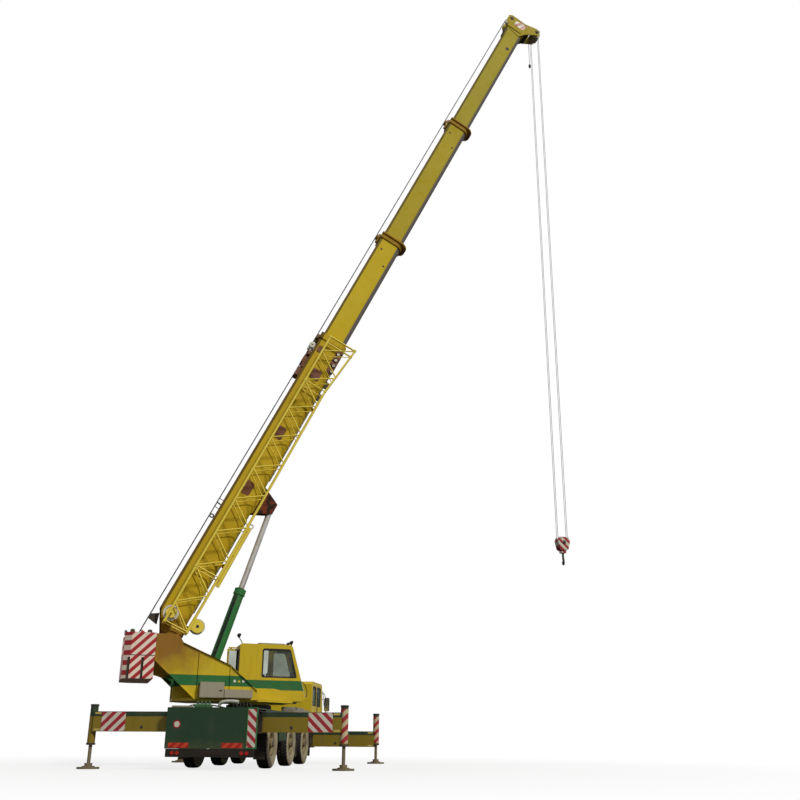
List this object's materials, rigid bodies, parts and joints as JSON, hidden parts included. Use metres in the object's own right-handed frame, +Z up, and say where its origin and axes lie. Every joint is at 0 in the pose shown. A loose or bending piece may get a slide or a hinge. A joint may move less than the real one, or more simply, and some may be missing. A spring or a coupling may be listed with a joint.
{
  "type": "mobile crane",
  "caption": "Wheeled mobile crane with a raised telescopic boom, folded lattice jib, hoist ropes with a hook block, and outriggers set down.",
  "frame": {"origin": "On the ground, at the middle of the whole machine seen from above.", "axes": "+X towards the driver's cab at the front of the carrier, +Y to the carrier's left, +Z up. The superstructure is turned 66 degrees to the right and its boom is raised 64.7 degrees."},
  "size_m": [10.455, 14.7924, 32.6314],
  "materials": {
    "boom_paint": "satin yellow enamel, dusty and faded",
    "cab_paint": "satin yellow enamel with a green band",
    "dark_green_paint": "satin dark green enamel",
    "green_paint": "satin green enamel",
    "beam_paint": "olive yellow enamel, scuffed by sliding",
    "weight_paint": "yellow enamel with slanted red and white stripes",
    "frame_paint": "dull dark enamel",
    "cast_steel": "bare and oiled cast steel",
    "chrome_rod": "polished chrome",
    "wheel_rubber": "dusty black rubber",
    "rim_paint": "tan enamel under dust",
    "window_glass": "grey tinted safety glass",
    "lamp_plastic": "moulded lenses",
    "seat_fabric": "dark woven cover",
    "rope_steel": "greased steel rope",
    "hook_paint": "red and white striped enamel",
    "engine_iron": "dull cast iron"
  },
  "bodies": {
    "carrier": {"chassis_frame": "frame_paint", "deck": "dark_green_paint", "rear_panel": "dark_green_paint", "rear_bumper": "frame_paint", "lamps": "lamp_plastic", "axles": "cast_steel", "engine": "engine_iron", "side_tanks": "dark_green_paint", "driver_cab": "cab_paint", "driver_glass": "window_glass", "driver_seats": "seat_fabric", "front_bumper": "dark_green_paint"},
    "superstructure": {"turntable": "frame_paint", "side_covers": "cab_paint", "counterweight": "weight_paint", "hoist_winch": "cast_steel", "operator_cab": "cab_paint", "operator_glass": "window_glass", "operator_seat": "seat_fabric"},
    "operator_door": {"operator_door": "cab_paint", "operator_door_pane": "window_glass"},
    "boom": {"boom_base": "boom_paint", "lattice_jib": "boom_paint"},
    "section_2": {"boom_section_2": "boom_paint"},
    "section_3": {"boom_section_3": "boom_paint"},
    "boom_tip": {"boom_head": "boom_paint", "head_sheaves": "cast_steel"},
    "lift_barrel": {"lift_barrel": "green_paint"},
    "lift_rod": {"lift_rod": "chrome_rod"},
    "falls": {"hoist_falls": "rope_steel"},
    "hook_block": {"hook_block": "hook_paint"},
    "hook": {"hook": "hook_paint"},
    "wheel_rear_left": {"tyre_rear_left": "wheel_rubber", "rim_rear_left": "rim_paint"},
    "knuckle_rear_left": {"knuckle_rear_left": "cast_steel"},
    "wheel_rear_right": {"tyre_rear_right": "wheel_rubber", "rim_rear_right": "rim_paint"},
    "knuckle_rear_right": {"knuckle_rear_right": "cast_steel"},
    "wheel_middle_left": {"tyre_middle_left": "wheel_rubber", "rim_middle_left": "rim_paint"},
    "wheel_middle_right": {"tyre_middle_right": "wheel_rubber", "rim_middle_right": "rim_paint"},
    "wheel_front_left": {"tyre_front_left": "wheel_rubber", "rim_front_left": "rim_paint"},
    "knuckle_front_left": {"knuckle_front_left": "cast_steel"},
    "wheel_front_right": {"tyre_front_right": "wheel_rubber", "rim_front_right": "rim_paint"},
    "knuckle_front_right": {"knuckle_front_right": "cast_steel"},
    "beam_rear_left": {"beam_rear_left": "beam_paint"},
    "jack_rear_left": {"jack_rear_left": "cast_steel"},
    "beam_rear_right": {"beam_rear_right": "beam_paint"},
    "jack_rear_right": {"jack_rear_right": "cast_steel"},
    "beam_front_left": {"beam_front_left": "beam_paint"},
    "jack_front_left": {"jack_front_left": "cast_steel"},
    "beam_front_right": {"beam_front_right": "beam_paint"},
    "jack_front_right": {"jack_front_right": "cast_steel"},
    "driver_door_left": {"driver_door_left": "cab_paint", "driver_door_pane_left": "window_glass"},
    "driver_door_right": {"driver_door_right": "cab_paint", "driver_door_pane_right": "window_glass"}
  },
  "joints": [
    {"name": "steer_rear_left", "type": "hinge", "parent": "carrier", "child": "knuckle_rear_left", "pos_m": [-3.1525, 4.17693, 0.685], "axis": [0, 0, 1], "range_deg": [-28, 28]},
    {"name": "wheel_rear_left_turn", "type": "hinge", "parent": "knuckle_rear_left", "child": "wheel_rear_left", "pos_m": [-3.1525, 4.43943, 0.685], "axis": [0, 1, 0], "continuous": true},
    {"name": "steer_rear_right", "type": "hinge", "parent": "carrier", "child": "knuckle_rear_right", "pos_m": [-3.1525, 2.57693, 0.685], "axis": [0, 0, 1], "range_deg": [-28, 28]},
    {"name": "wheel_rear_right_turn", "type": "hinge", "parent": "knuckle_rear_right", "child": "wheel_rear_right", "pos_m": [-3.1525, 2.31443, 0.685], "axis": [0, 1, 0], "continuous": true},
    {"name": "wheel_middle_left_turn", "type": "hinge", "parent": "carrier", "child": "wheel_middle_left", "pos_m": [-0.5025, 4.43943, 0.685], "axis": [0, 1, 0], "continuous": true},
    {"name": "wheel_middle_right_turn", "type": "hinge", "parent": "carrier", "child": "wheel_middle_right", "pos_m": [-0.5025, 2.31443, 0.685], "axis": [0, 1, 0], "continuous": true},
    {"name": "steer_front_left", "type": "hinge", "parent": "carrier", "child": "knuckle_front_left", "pos_m": [1.7475, 4.17693, 0.685], "axis": [0, 0, 1], "range_deg": [-28, 28]},
    {"name": "wheel_front_left_turn", "type": "hinge", "parent": "knuckle_front_left", "child": "wheel_front_left", "pos_m": [1.7475, 4.43943, 0.685], "axis": [0, 1, 0], "continuous": true},
    {"name": "steer_front_right", "type": "hinge", "parent": "carrier", "child": "knuckle_front_right", "pos_m": [1.7475, 2.57693, 0.685], "axis": [0, 0, 1], "range_deg": [-28, 28]},
    {"name": "wheel_front_right_turn", "type": "hinge", "parent": "knuckle_front_right", "child": "wheel_front_right", "pos_m": [1.7475, 2.31443, 0.685], "axis": [0, 1, 0], "continuous": true},
    {"name": "beam_rear_left_slide", "type": "slide", "parent": "carrier", "child": "beam_rear_left", "axis": [0, 1, 0], "range_m": [-2.12, 0]},
    {"name": "jack_rear_left_lift", "type": "slide", "parent": "beam_rear_left", "child": "jack_rear_left", "axis": [0, 0, -1], "range_m": [-0.4, 0]},
    {"name": "beam_rear_right_slide", "type": "slide", "parent": "carrier", "child": "beam_rear_right", "axis": [0, -1, 0], "range_m": [-2.12, 0]},
    {"name": "jack_rear_right_lift", "type": "slide", "parent": "beam_rear_right", "child": "jack_rear_right", "axis": [0, 0, -1], "range_m": [-0.4, 0]},
    {"name": "beam_front_left_slide", "type": "slide", "parent": "carrier", "child": "beam_front_left", "axis": [0, 1, 0], "range_m": [-2.12, 0]},
    {"name": "jack_front_left_lift", "type": "slide", "parent": "beam_front_left", "child": "jack_front_left", "axis": [0, 0, -1], "range_m": [-0.4, 0]},
    {"name": "beam_front_right_slide", "type": "slide", "parent": "carrier", "child": "beam_front_right", "axis": [0, -1, 0], "range_m": [-2.12, 0]},
    {"name": "jack_front_right_lift", "type": "slide", "parent": "beam_front_right", "child": "jack_front_right", "axis": [0, 0, -1], "range_m": [-0.4, 0]},
    {"name": "driver_door_left_hinge", "type": "hinge", "parent": "carrier", "child": "driver_door_left", "pos_m": [4.6795, 4.60893, 2], "axis": [0, 0, -1], "range_deg": [0, 65]},
    {"name": "driver_door_right_hinge", "type": "hinge", "parent": "carrier", "child": "driver_door_right", "pos_m": [4.6795, 2.14493, 2], "axis": [0, 0, 1], "range_deg": [0, 65]},
    {"name": "slew", "type": "hinge", "parent": "carrier", "child": "superstructure", "pos_m": [-1.3525, 3.37693, 1.8], "axis": [0, 0, 1], "continuous": true},
    {"name": "operator_door_slide", "type": "slide", "parent": "superstructure", "child": "operator_door", "axis": [0.4067, -0.9135, 0], "range_m": [0, 0.64]},
    {"name": "luff", "type": "hinge", "parent": "superstructure", "child": "boom", "pos_m": [-2.38968, 5.70647, 3.55], "axis": [-0.9135, -0.4067, 0], "range_deg": [-64.7, 17.3]},
    {"name": "telescope_2", "type": "slide", "parent": "boom", "child": "section_2", "axis": [0.1738, -0.3904, 0.9041], "range_m": [-4.9, 0.9]},
    {"name": "telescope_3", "type": "slide", "parent": "section_2", "child": "section_3", "axis": [0.1738, -0.3904, 0.9041], "range_m": [-6.6, 1.25]},
    {"name": "telescope_4", "type": "slide", "parent": "section_3", "child": "boom_tip", "axis": [0.1738, -0.3904, 0.9041], "range_m": [-6.4, 1.25]},
    {"name": "lift_barrel_pivot", "type": "hinge", "parent": "superstructure", "child": "lift_barrel", "pos_m": [-1.92193, 4.65589, 2.35], "axis": [-0.9135, -0.4067, 0], "range_deg": [-62.61, 17.11]},
    {"name": "lift_rod_slide", "type": "slide", "parent": "lift_barrel", "child": "lift_rod", "axis": [0.1163, -0.2613, 0.9582], "range_m": [-1.9523, 0.5293]},
    {"name": "falls_swing", "type": "hinge", "parent": "boom_tip", "child": "falls", "pos_m": [3.31517, -7.10684, 32.00527], "axis": [-0.9135, -0.4067, 0], "range_deg": [-17.4, 64.8]},
    {"name": "hoist", "type": "slide", "parent": "falls", "child": "hook_block", "axis": [0, 0, -1], "range_m": [-22.9, 6.9], "deforming": ["hoist_falls"]},
    {"name": "hook_swivel", "type": "hinge", "parent": "hook_block", "child": "hook", "pos_m": [3.31517, -7.10684, 7.18], "axis": [0, 0, 1], "continuous": true}
  ],
  "couplings": [
    {"joint": "steer_rear_left", "follows": "steer_front_left", "ratio": -0.6},
    {"joint": "steer_rear_right", "follows": "steer_front_left", "ratio": -0.6},
    {"joint": "steer_front_right", "follows": "steer_front_left", "ratio": 1},
    {"joint": "telescope_3", "follows": "telescope_2", "ratio": 1.33},
    {"joint": "telescope_4", "follows": "telescope_2", "ratio": 1.28},
    {"joint": "lift_barrel_pivot", "follows": "luff", "ratio": 0.96},
    {"joint": "lift_rod_slide", "follows": "luff", "m_per_rad": 1.72},
    {"joint": "falls_swing", "follows": "luff", "ratio": -1}
  ]
}
